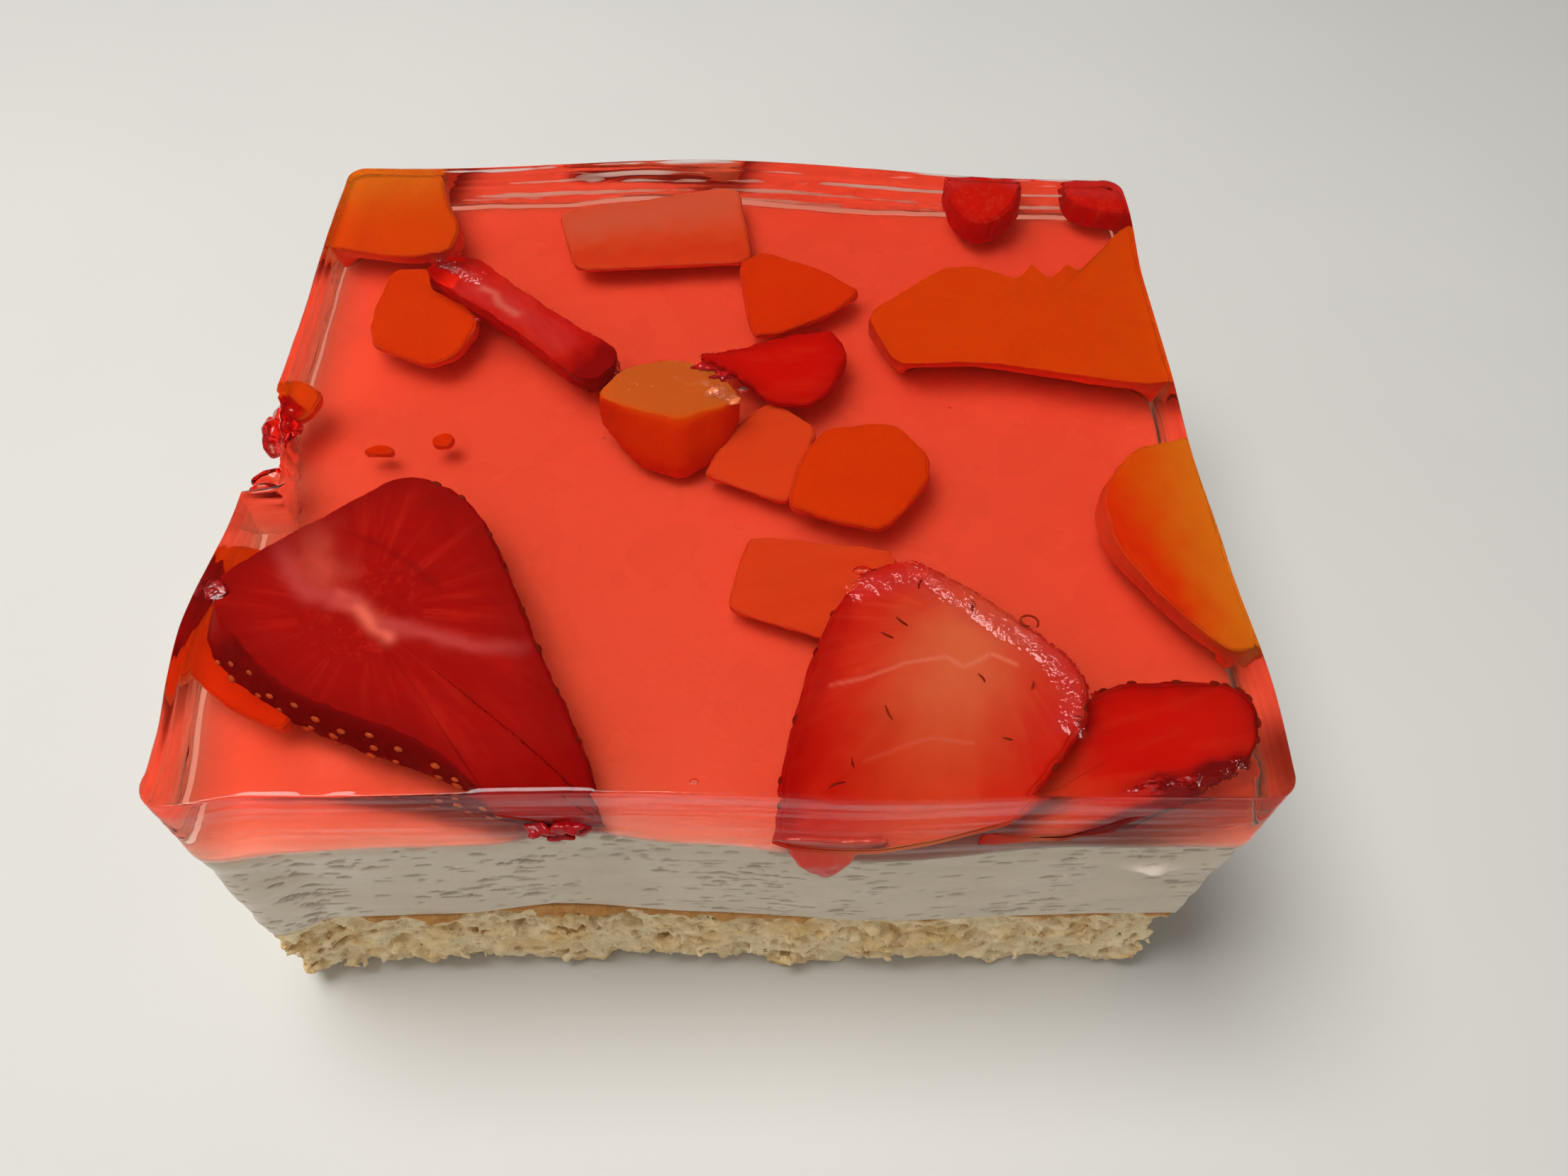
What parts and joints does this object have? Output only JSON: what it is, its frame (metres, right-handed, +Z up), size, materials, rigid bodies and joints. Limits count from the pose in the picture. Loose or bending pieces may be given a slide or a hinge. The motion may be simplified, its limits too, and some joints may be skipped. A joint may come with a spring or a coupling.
{
  "type": "no-bake cheesecake",
  "caption": "Cut rectangular piece of no-bake cheesecake: sponge base, cream cheese layer and clear red jelly with strawberry and peach set in it.",
  "frame": {"origin": "middle of the rectangle that bounds the piece, at the height of the surface it rests on", "axes": "+Z up, +X to the right along the front cut, +Y from the front cut to the back cut"},
  "size_m": [0.1026, 0.0944, 0.0477],
  "materials": {
    "sponge": "dry open sponge crumb, pale yellow, with a thin golden-brown skin on top",
    "cheese": "moist set cream cheese, warm off-white, with small long pores",
    "jelly": "clear red set jelly, wet and glossy, the cheese and the fruit show through it",
    "peach": "wet tinned peach, orange-yellow, paler at the cut",
    "strawberry": "wet sliced strawberry, pale fibres in red flesh, dark seeded skin"
  },
  "bodies": {
    "root": {"sponge_base": "sponge", "cheese_layer": "cheese", "jelly_layer": "jelly", "peach_back_left": "peach", "peach_back_right": "peach", "peach_right": "peach", "peach_centre": "peach", "berry_back": "strawberry", "berry_corner": "strawberry", "strawberry_stick": "strawberry", "strawberry_front_left": "strawberry", "strawberry_front_right": "strawberry", "strawberry_right": "strawberry"}
  },
  "joints": []
}
